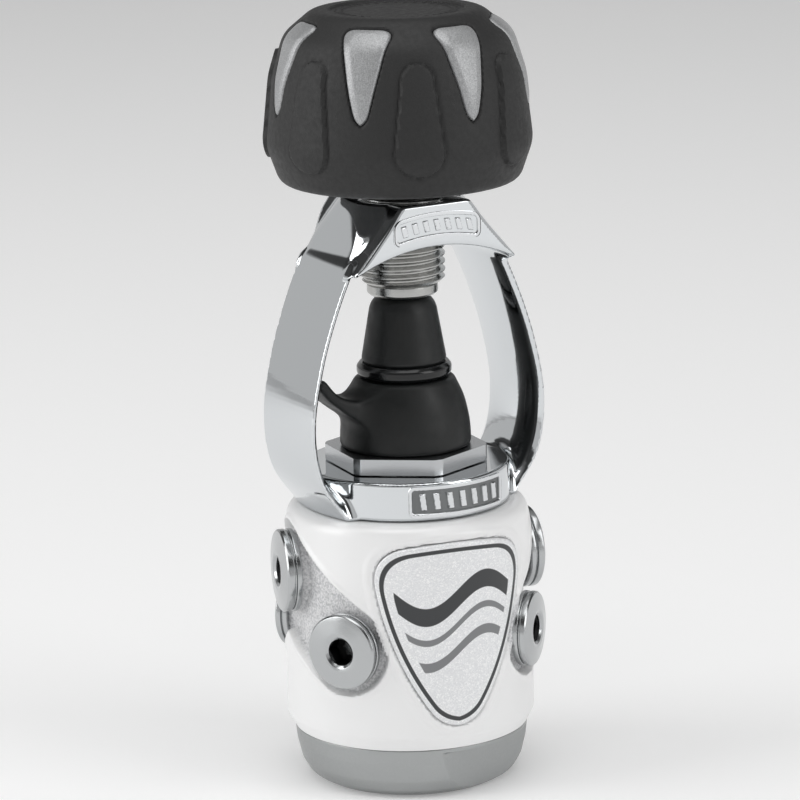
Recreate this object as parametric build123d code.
"""Scuba regulator first stage: balanced diaphragm type with a yoke (A-clamp) inlet.

Millimetres, +Z up.  The origin is the centre of the flat base of the spring housing,
on the axis that the body, the yoke screw and the hand knob share.  Azimuths are
degrees about +Z, with 0 facing -Y and positive towards +X.
"""
from build123d import *
import math
import os

# ---------------------------------------------------------------- driving dimensions
# heights of the stack
HOUSING_TOP = 10.0        # seam between spring housing and body
BODY_TOP = 52.7           # body face that the yoke ring turns on
RING_TOP = 60.2           # top face of the yoke ring
HEX_TOP = 63.2            # top of the retainer's hexagon
NOSE_TOP = 66.2           # sealing face of the inlet
CAP_TOP = 91.7            # top of the rubber dust cap
PAD_TOP = 94.1            # top of the pressure pad
BAR_TOP = 110.5           # top of the yoke's threaded boss
KNOB_BOTTOM = 113.0
KNOB_TOP = 144.8

# main radii
BODY_R = 23.25
SKIRT_R = 19.0            # threaded joint of housing and body
BASE_R = 17.2             # flat base that the part stands on
RING_R = 19.3             # yoke ring
SCREW_R = 8.0             # M16 yoke screw
SCREW_PITCH = 1.5
THREAD_DEPTH = 0.92
KNOB_R = 24.0
SHOULDER_R = 12.5         # retainer shoulder inside the yoke ring
RETAINER_THREAD_R = 9.5
NOSE_R = 10.5
HEX_FLATS = 27.0
HEX_TURN = -7.8           # azimuth of one corner
HEX_CORNER_R = 15.1       # corners are turned off to this radius

# ports
BADGE_AZIMUTH = -12.0
BADGE_SHIFT = 2.4         # degrees that the plate sits off the middle between the ports
SUPPLY_ANGLE = 93.0           # either side of the badge
HOSE_ANGLES = (52.0, 134.0)
SUPPLY_Z = 40.7
HOSE_Z = 29.0
PLUG_FACE_R = 25.3
SUPPLY_HEAD_R = 7.75
HOSE_HEAD_R = 7.0
SUPPLY_SEAT_R = 22.0
HOSE_SEAT_R = 22.2
SUPPLY_THREAD_R = 5.55        # 7/16 in
HOSE_THREAD_R = 4.75        # 3/8 in
PLUG_ROOT_R = 15.4        # inner end of each plug
PLUG_SOCKET = 5.0         # hexagon key across flats
PLUG_SOCKET_DEPTH = 4.0
POCKET_DEPTH = 1.2

# valve train
HOSE_CHAMBER_R = 14.5
LEDGE_Z = 22.0            # body ledge that clamps the diaphragm
WEB_BOTTOM = 33.2
WEB_TOP = 36.2
SUPPLY_CHAMBER_R = 7.5
SUPPLY_CHAMBER_TOP = 45.0
ADJUSTER_R = 12.0

# fits
RUNNING = 0.05            # radial clearance of turning and sliding fits
FREE = 0.3                # clearance of rubber and of parts that only pass by
TINY = 0.02               # gap between faces that seat on each other


# ---------------------------------------------------------------- helpers
def disc(radius, bottom, top):
    return Pos(0, 0, (bottom + top) / 2) * Cylinder(radius, top - bottom)


def tube(outer, inner, bottom, top):
    return disc(outer, bottom, top) - disc(inner, bottom - 1, top + 1)


def turned(points):
    """Solid of revolution from (radius, height) corners, starting and ending on any radius."""
    corners = [(radius, 0, height) for radius, height in points]
    return revolve(make_face(Polyline(*corners, close=True)), Axis.Z)


def torus(ring_radius, cord_radius, height):
    return Pos(0, 0, height) * Torus(ring_radius, cord_radius)


def facing(azimuth, height, radius=0.0):
    """Plane at an azimuth, with its normal outward, local X tangential and local Y up."""
    angle = math.radians(azimuth)
    outward = Vector(math.sin(angle), -math.cos(angle), 0)
    tangent = Vector(math.cos(angle), math.sin(angle), 0)
    origin = outward * radius + Vector(0, 0, height)
    return Plane(origin=origin, x_dir=tangent, z_dir=outward)


def radial_peg(azimuth, height, radius, inner, outer):
    """Cylinder whose axis points outward, from one distance from the axis to another."""
    peg = Pos(0, 0, (inner + outer) / 2) * Cylinder(radius, outer - inner)
    return facing(azimuth, height) * peg


def hex_prism(flats, bottom, top, turn=0.0):
    corner_radius = flats / math.sqrt(3)
    outline = RegularPolygon(corner_radius, 6, rotation=turn)
    return extrude(Pos(0, 0, bottom) * outline, top - bottom)


def coil(mean_radius, wire_radius, bottom, top, turns):
    """Compression spring: one round wire along a helix, its end coils inside the given heights."""
    rise = top - bottom - 2 * wire_radius
    path = Pos(0, 0, bottom + wire_radius) * Helix(rise / turns, rise, mean_radius)
    start = path @ 0
    section = Plane(origin=start, z_dir=path % 0) * Circle(wire_radius)
    return sweep(section, path=path, is_frenet=True)


# ---------------------------------------------------------------- spring housing and adjuster
def spring_housing():
    profile = [(0, 0), (BASE_R, 0), (19.4, 1.2), (20.8, 3.6), (21.6, 7.0),
               (21.95, HOUSING_TOP), (SKIRT_R - TINY, HOUSING_TOP), (SKIRT_R - TINY, 20.0),
               (0, 20.0)]
    body = turned(profile)
    body -= disc(14.3, 8.2, 21)
    body -= disc(ADJUSTER_R + RUNNING, -1, 9)
    flat_distance = 18.4
    for azimuth in (16.6, 196.6):
        cutter = Pos(0, 0, flat_distance + 5) * Box(60, 18.0, 10)
        body -= facing(azimuth, 0) * cutter
    for step in range(6):
        body -= Rot(0, 0, 60 * step) * Pos(14.6, 0, 4) * Cylinder(1.1, 20)
    return body


def adjusting_screw():
    body = disc(ADJUSTER_R, 1.2, 7.2)
    body -= hex_prism(8.0, 0, 8)
    body -= disc(9.8, 5.9, 8)
    return body


def thrust_washer():
    return tube(11.0, 6.0, 7.3, 8.1) - disc(9.0, 7.9, 9)


def main_spring():
    return coil(8.9, 1.3, 8.15, 18.55, 4.0)


def spring_carrier():
    body = disc(13.4, 18.6, 20.4) + disc(6.6, 16.2, 18.6)
    return body - disc(4.0, 15, 18.4)


def diaphragm_washer():
    return tube(18.7, 14.6, 20.05, 20.6)


def diaphragm():
    body = disc(18.7, 20.65, 21.95)
    groove = torus(13.2, 0.5, 20.65)
    return body - groove


def valve_lifter():
    body = disc(9.0, 22.0, 23.2) + disc(3.0, 23.2, 25.6)
    body += disc(1.25, 25.6, 37.6)
    for step in range(6):
        body -= Rot(0, 0, 60 * step) * Pos(6.0, 0, 22.6) * Cylinder(1.2, 4)
    return body


# ---------------------------------------------------------------- main body
def badge_outline(grow=0.0):
    """Shield: a bowed top, round shoulders, and bowed sides that meet in a round tip."""
    corner = (15.6, 47.5)
    left = (-corner[0], corner[1])
    tip = (0, 12.9)
    top_arc = ThreePointArc(left, (0, 49.4), corner)
    right_arc = ThreePointArc(corner, (11.4, 29.1), tip)
    left_arc = ThreePointArc(tip, (-11.4, 29.1), left)
    outline = make_face([top_arc, right_arc, left_arc])
    outline = fillet(outline.vertices(), 4.0)
    return offset(outline, grow) if grow else outline


def shell(inner, outer):
    return tube(outer, inner, HOUSING_TOP, BODY_TOP)


def badge_prism(grow=0.0):
    plane = facing(BADGE_AZIMUTH + BADGE_SHIFT, 0)
    return extrude(plane * badge_outline(grow), 40)


def port_pocket(side, hose_angle):
    """Shallow field that joins a supply-pressure port to the hose port beside it."""
    middle = (SUPPLY_ANGLE + hose_angle) / 2
    reach = BODY_R * math.sin(math.radians(abs(SUPPLY_ANGLE - hose_angle) / 2))
    rise = (SUPPLY_Z - HOSE_Z) / 2
    lean = math.copysign(1, SUPPLY_ANGLE - hose_angle) * side
    turn = math.degrees(math.atan2(rise, lean * reach))
    slot = SlotCenterToCenter(2 * math.hypot(reach, rise), 18.4)
    plane = facing(BADGE_AZIMUTH + side * middle, (SUPPLY_Z + HOSE_Z) / 2)
    prism = extrude(plane * (Rot(0, 0, turn) * slot), 40)
    return prism & shell(BODY_R - POCKET_DEPTH, BODY_R + 3)


def main_body():
    outline = FilletPolyline(
        (0, 0, HOUSING_TOP), (21.95, 0, HOUSING_TOP), (BODY_R, 0, 12.5), (BODY_R, 0, 41.0),
        (22.5, 0, BODY_TOP), (0, 0, BODY_TOP), radius=(0.4, 1.5, 30.0, 2.6), close=False)
    axis_line = Line((0, 0, BODY_TOP), (0, 0, HOUSING_TOP))
    body = revolve(make_face([outline, axis_line]), Axis.Z)
    body -= disc(SKIRT_R, 0, LEDGE_Z)
    body -= disc(HOSE_CHAMBER_R, LEDGE_Z - 1, WEB_BOTTOM)
    body -= disc(4.5, WEB_BOTTOM - 1, WEB_TOP + 1)
    body -= disc(SUPPLY_CHAMBER_R, WEB_TOP, SUPPLY_CHAMBER_TOP)
    body -= disc(RETAINER_THREAD_R, SUPPLY_CHAMBER_TOP, BODY_TOP + 1)
    for side in (-1, 1):
        for hose_angle in HOSE_ANGLES:
            body -= port_pocket(side, hose_angle)
        supply_azimuth = BADGE_AZIMUTH + side * SUPPLY_ANGLE
        body -= radial_peg(supply_azimuth, SUPPLY_Z, SUPPLY_HEAD_R + 0.35, SUPPLY_SEAT_R, 40)
        body -= radial_peg(supply_azimuth, SUPPLY_Z, SUPPLY_THREAD_R, PLUG_ROOT_R - 0.6, 30)
        body -= radial_peg(supply_azimuth, SUPPLY_Z, 1.6, SUPPLY_CHAMBER_R - 2, 20)
        for hose_angle in HOSE_ANGLES:
            hose_azimuth = BADGE_AZIMUTH + side * hose_angle
            body -= radial_peg(hose_azimuth, HOSE_Z, HOSE_HEAD_R + 0.35, HOSE_SEAT_R, 40)
            body -= radial_peg(hose_azimuth, HOSE_Z, HOSE_THREAD_R, PLUG_ROOT_R - 0.6, 30)
            body -= radial_peg(hose_azimuth, HOSE_Z, 3.2, HOSE_CHAMBER_R - 2, 20)
    body -= badge_prism(0.15) & shell(BODY_R - 0.9, BODY_R + 3)
    return body


def badge_plate():
    return badge_prism() & shell(BODY_R - 0.88, BODY_R + 0.25)


# ---------------------------------------------------------------- port plugs
def port_plug(azimuth, height, head_radius, seat_radius, thread_radius):
    """Two-tier round head with a dished face and a hexagon socket, on a threaded shank."""
    seat = seat_radius + TINY
    lower_top = seat + 1.3
    profile = [(0, PLUG_ROOT_R), (thread_radius - 0.5, PLUG_ROOT_R),
               (thread_radius - TINY, PLUG_ROOT_R + 0.5), (thread_radius - TINY, seat - 1.7),
               (thread_radius - 1.1, seat - 1.7), (thread_radius - 1.1, seat),
               (head_radius, seat), (head_radius, lower_top - 0.2),
               (head_radius - 0.6, lower_top - 0.2), (head_radius - 0.6, lower_top + 0.25),
               (head_radius, lower_top + 0.25), (head_radius, PLUG_FACE_R - 0.5),
               (head_radius - 0.5, PLUG_FACE_R), (head_radius - 1.5, PLUG_FACE_R),
               (3.6, PLUG_FACE_R - 0.45), (0, PLUG_FACE_R - 0.45)]
    body = turned(profile)
    body -= hex_prism(PLUG_SOCKET, PLUG_FACE_R - PLUG_SOCKET_DEPTH, PLUG_FACE_R + 1)
    return facing(azimuth, height) * body


def plug_oring(azimuth, height, seat_radius, thread_radius):
    ring = torus(thread_radius - 0.55, 0.52, seat_radius - 0.83)
    return facing(azimuth, height) * ring


# ---------------------------------------------------------------- valve pieces
def orifice_crown():
    body = disc(4.48, WEB_BOTTOM - 0.6, WEB_TOP) + disc(3.2, WEB_TOP, 36.8)
    body += disc(5.6, WEB_BOTTOM - 1.6, WEB_BOTTOM - TINY)
    body -= disc(1.9, 25, 40)
    return body - tube(5.0, 3.45, 34.1, 35.1)


def orifice_oring():
    return torus(3.97, 0.48, 34.6)


def main_poppet():
    body = disc(4.4, 38.0, 40.0) + disc(1.8, 40.0, 48.4)
    return body - disc(3.5, 37, 38.9) + disc(1.2, 38.0, 38.9)


def poppet_seat():
    return tube(3.48, 1.22, 37.65, 38.88)


def poppet_spring():
    return coil(2.9, 0.35, 40.05, 45.1, 5.0)


def balance_plug():
    body = disc(6.35, 45.2, 50.0)
    body -= disc(1.8 + RUNNING, 44, 49.2)
    for step in range(4):
        body -= Rot(0, 0, 90 * step + 45) * Pos(4.7, 0, 47) * Cylinder(0.8, 8)
    body -= tube(2.9, 1.0, 46.0, 47.4)
    return body


def poppet_oring():
    return torus(2.36, 0.5, 46.7)


# ---------------------------------------------------------------- inlet
def yoke_retainer():
    body = hex_prism(HEX_FLATS, RING_TOP + 0.05, HEX_TOP, HEX_TURN) & disc(HEX_CORNER_R, 50, 70)
    body += disc(NOSE_R, HEX_TOP - 0.5, NOSE_TOP)
    body += disc(SHOULDER_R, BODY_TOP + TINY, RING_TOP + 0.1)
    body += disc(RETAINER_THREAD_R - TINY, SUPPLY_CHAMBER_TOP + 0.1, BODY_TOP + 0.1)
    body -= disc(6.4, 40, 50.2)
    body -= disc(4.0, 50, 70)
    body -= disc(7.0, 60.5, 70)
    body -= disc(7.7, 63.15, 64.05)
    body -= tube(10.2, 8.3, NOSE_TOP - 0.35, 70)
    return body - tube(20, 8.2, 50.9, 52.3)


def retainer_oring():
    return torus(8.85, 0.62, 51.6)


def inlet_filter():
    """Sintered cone: flat rim with a shallow dome facing the tank valve."""
    profile = [(0, 60.6), (6.95, 60.6), (6.95, 63.1), (5.4, 63.1), (0, 64.6)]
    return turned(profile)


def filter_clip():
    ring = tube(7.6, 6.1, 63.2, 64.0)
    return ring - Pos(0, -7, 63.6) * Box(3.0, 5, 3)


# ---------------------------------------------------------------- dust cap
def dust_cap():
    base = HEX_TOP + 0.05
    outside = Spline((12.2, 0, 65.2), (11.9, 0, 68.4), (11.0, 0, 72.2), (9.2, 0, 76.3))
    lower = Polyline((0, 0, base), (12.2, 0, base), (12.2, 0, 65.2))
    upper = Polyline((9.2, 0, 76.3), (7.5, 0, 76.35), (7.5, 0, 79.05), (8.0, 0, 79.1),
                     (5.9, 0, 91.2), (5.4, 0, CAP_TOP), (0, 0, CAP_TOP), (0, 0, base))
    body = revolve(make_face([lower, outside, upper]), Axis.Z)
    body += pull_tab()
    body += Pos(12.0, 0, 66.4) * Rot(0, 90, 0) * Cylinder(1.3, 2.4)
    body -= disc(NOSE_R + FREE, 60, NOSE_TOP + FREE)
    body -= turned([(0, 66), (6.0, 66), (4.5, 73), (0, 75)])
    return body


def pull_tab():
    """Tongue that leaves the bell and curls up at its end."""
    under = Spline((-8.0, 0, 67.6), (-11.5, 0, 68.4), (-14.5, 0, 70.4), (-17.7, 0, 73.2),
                   (-20.2, 0, 76.6))
    tip = ThreePointArc((-20.2, 0, 76.6), (-19.8, 0, 77.8), (-18.6, 0, 77.5))
    over = Spline((-18.6, 0, 77.5), (-16.4, 0, 75.4), (-13.6, 0, 74.3), (-8.0, 0, 74.6))
    root = Line((-8.0, 0, 74.6), (-8.0, 0, 67.6))
    face = make_face([under, tip, over, root])
    return extrude(face, 4.4, both=True)


def dust_cap_ring():
    """Bead that sits in the neck of the dust cap, with a crowned outside."""
    crown = ThreePointArc((7.95, 0, 76.4), (8.65, 0, 77.7), (7.95, 0, 79.0))
    inside = Polyline((7.95, 0, 79.0), (7.52, 0, 79.0), (7.52, 0, 76.4), (7.95, 0, 76.4))
    return revolve(make_face([crown, inside]), Axis.Z)


# ---------------------------------------------------------------- yoke
LEG_HALF_DEPTH = 9.6
BAR_HALF_DEPTH = 12.7
BROW_HALF_GAP = 8.4       # the slab is a thick plate on the front and one on the back
NECK_R = 11.0             # top of the cone turned round the screw hole


def yoke_outer_face():
    right = Spline((11.0, 0, BAR_TOP), (14.8, 0, 103.0), (19.6, 0, 93.0), (23.4, 0, 82.0),
                   (25.5, 0, 70.5), (23.9, 0, 60.5), (18.3, 0, BODY_TOP + 0.05))
    left = mirror(right, Plane.YZ)
    top = Line(left @ 0, right @ 0)
    bottom = Line(left @ 1, right @ 1)
    return make_face([right, left, top, bottom])


def yoke_window_face():
    corner = 17.0
    side = Spline((16.4, 0, 97.6), (20.4, 0, 84.0), (22.7, 0, 73.5), (22.3, 0, 67.4),
                  (corner, 0, RING_TOP), tangents=((0.25, 0, -1), (-1, 0, 0)))
    other = mirror(side, Plane.YZ)
    arch = ThreePointArc(other @ 0, (0, 0, 102.4), side @ 0)
    bottom = Line(other @ 1, side @ 1)
    return make_face([side, other, arch, bottom])


def brow_face():
    """Outline of the thick slab across the top: an arch that tapers to a point on each leg."""
    half = [(7.3, BAR_TOP), (10.6, 106.2), (15.0, 101.2), (18.5, 97.3), (17.0, 95.8)]
    right = [(across, 0, height) for across, height in half]
    left = [(-across, 0, height) for across, height in reversed(half)]
    return make_face(Polyline(*right, *left, close=True))


def yoke():
    frame = extrude(yoke_outer_face(), LEG_HALF_DEPTH, both=True)
    neck_cone = [(NECK_R, BAR_TOP + 0.1), (20.5, 97.6), (40, 97.6), (40, BAR_TOP + 0.1)]
    frame -= turned(neck_cone)
    slab = extrude(brow_face(), BAR_HALF_DEPTH, both=True)
    frame += slab - Box(60, 2 * BROW_HALF_GAP, 400)
    frame -= extrude(yoke_window_face(), 20, both=True)
    frame += disc(RING_R, BODY_TOP + 0.05, RING_TOP)
    frame -= disc(19.0, RING_TOP, RING_TOP + 3)
    frame -= disc(SHOULDER_R + RUNNING, BODY_TOP - 1, RING_TOP + 1)
    frame -= disc(SCREW_R + RUNNING, 95, BAR_TOP + 1)
    bar_pad = Pos(0, 0, 106.0) * Box(16.4, 2 * BAR_HALF_DEPTH + 1.0, 4.8)
    bar_pad = fillet(bar_pad.edges().filter_by(Axis.Y), 1.8)
    bar_pad -= Box(30, 2 * LEG_HALF_DEPTH, 400)
    ring_pad = extrude(facing(0, 56.6) * RectangleRounded(19.2, 5.2, 1.4), 30)
    ring_pad &= tube(RING_R + 0.5, SHOULDER_R + 3, 53, 60)
    return frame + bar_pad + ring_pad


# ---------------------------------------------------------------- clamp screw and knob
def screw_pad():
    body = disc(6.55, CAP_TOP + 0.05, PAD_TOP)
    body = chamfer(body.edges().group_by(Axis.Z)[0], 0.4)
    body += disc(2.4, PAD_TOP, 98.0)
    return body


def yoke_screw():
    """M16 screw: one helical V groove is cut into the length that shows and works in the yoke."""
    bottom = PAD_TOP + 0.1
    thread_top = 125.4
    body = disc(SCREW_R, bottom, thread_top) + disc(7.2, thread_top, 136.0)
    body = chamfer(body.edges().group_by(Axis.Z)[0], 0.8)
    body -= disc(2.4 + RUNNING, 90, 98.6)
    rise = thread_top - bottom - 0.5
    path = Pos(0, 0, bottom - SCREW_PITCH) * Helix(SCREW_PITCH, rise, SCREW_R)
    mouth = SCREW_PITCH * 0.48
    start = path @ 0
    section = Plane(origin=start, x_dir=(1, 0, 0), z_dir=(0, -1, 0)) * make_face(
        Polyline((0.12, mouth), (0.12, -mouth), (-THREAD_DEPTH, -0.12),
                 (-THREAD_DEPTH, 0.12), close=True))
    groove = sweep(section, path=path, is_frenet=True)
    return body - groove


def knob_profile(inset=0.0):
    """Barrel with a rounded foot, sides that lean in and a domed shoulder under a flat top."""
    low = KNOB_BOTTOM + inset
    high = KNOB_TOP - inset
    outline = FilletPolyline(
        (0, 0, low), (22.4 - inset, 0, low), (KNOB_R + 0.7 - inset, 0, 120.4),
        (23.3 - inset, 0, 133.0), (20.9 - inset, 0, high - 4.4), (15.6 - inset, 0, high),
        (0, 0, high), radius=(3.0, 7.0, 16.0, 6.0, 6.0))
    axis_line = Line((0, 0, high), (0, 0, low))
    return revolve(make_face([outline, axis_line]), Axis.Z)


INLAY_COUNT = 7
INLAY_AZIMUTH = -48.0
TONGUE_AZIMUTH = INLAY_AZIMUTH + 180 / INLAY_COUNT


def inlay_prism(azimuth, grow=0.0):
    """Teardrop, broad and round at the top, that points down."""
    top_r = 4.4 + grow
    tip_r = 1.1 + grow
    outline = make_hull((Pos(0, 138.0) * Circle(top_r)).edges()
                        + (Pos(0, 124.3) * Circle(tip_r)).edges())
    return extrude(facing(azimuth, 0) * outline, 40)


def tongue_prism(azimuth):
    outline = make_hull((Pos(0, 121.6) * Circle(5.1)).edges()
                        + (Pos(0, 136.9) * Circle(3.9)).edges())
    return extrude(facing(azimuth, 0) * outline, 40)


def knob_inner(gap=0.0):
    return knob_profile(3.2 - gap)


def knob_core():
    body = knob_inner()
    bosses = knob_profile(0.25) - disc(14.8, 110, 150)
    for step in range(INLAY_COUNT):
        body += bosses & inlay_prism(INLAY_AZIMUTH + 360 * step / INLAY_COUNT)
    body -= disc(SCREW_R + TINY, 110, 125.5)
    body -= disc(7.2 + TINY, 125, 136.1)
    body -= tube(14.8, 11.0, 110, 136.5)
    return body - radial_peg(90, 130.5, 1.5, -12, 12)


def knob_grip():
    body = knob_profile() - knob_inner(TINY)
    lip = knob_profile(-0.6) - knob_profile(0.3)
    for step in range(INLAY_COUNT):
        turn = 360 * step / INLAY_COUNT
        body += lip & tongue_prism(TONGUE_AZIMUTH + turn)
        body -= inlay_prism(INLAY_AZIMUTH + turn, 0.1)
    body -= disc(12.2, 110, KNOB_BOTTOM + 3.4)
    body -= disc(12.6, KNOB_TOP - 0.5, KNOB_TOP + 1)
    return body


def knob_pin():
    return radial_peg(90, 130.5, 1.48, -10.9, 10.9)


def drilled_screw():
    return yoke_screw() - radial_peg(90, 130.5, 1.5, -12, 12)


# ---------------------------------------------------------------- write the nodes
def port_nodes():
    nodes = {}
    for side, name in ((-1, "left"), (1, "right")):
        azimuth = BADGE_AZIMUTH + side * SUPPLY_ANGLE
        nodes["supply_plug_" + name] = port_plug(azimuth, SUPPLY_Z, SUPPLY_HEAD_R,
                                                 SUPPLY_SEAT_R, SUPPLY_THREAD_R)
        nodes["supply_plug_oring_" + name] = plug_oring(azimuth, SUPPLY_Z, SUPPLY_SEAT_R,
                                                        SUPPLY_THREAD_R)
        for hose_angle, place in zip(HOSE_ANGLES, ("front", "rear")):
            azimuth = BADGE_AZIMUTH + side * hose_angle
            where = place + "_" + name
            nodes["hose_plug_" + where] = port_plug(azimuth, HOSE_Z, HOSE_HEAD_R, HOSE_SEAT_R,
                                                  HOSE_THREAD_R)
            nodes["hose_plug_oring_" + where] = plug_oring(azimuth, HOSE_Z, HOSE_SEAT_R,
                                                           HOSE_THREAD_R)
    return nodes


def model():
    makers = (spring_housing, adjusting_screw, thrust_washer, main_spring, spring_carrier,
              diaphragm_washer, diaphragm, valve_lifter, main_body, badge_plate, orifice_crown,
              orifice_oring, main_poppet, poppet_seat, poppet_spring, balance_plug, poppet_oring,
              yoke_retainer, retainer_oring, inlet_filter, filter_clip, dust_cap, dust_cap_ring,
              yoke, screw_pad, knob_core, knob_grip, knob_pin)
    nodes = {maker.__name__: maker() for maker in makers}
    nodes["yoke_screw"] = drilled_screw()
    nodes.update(port_nodes())
    return nodes


os.makedirs("parts", exist_ok=True)
for node_name, shape in model().items():
    export_step(shape, "parts/" + node_name + ".step")
    print(node_name, round(shape.volume, 2))
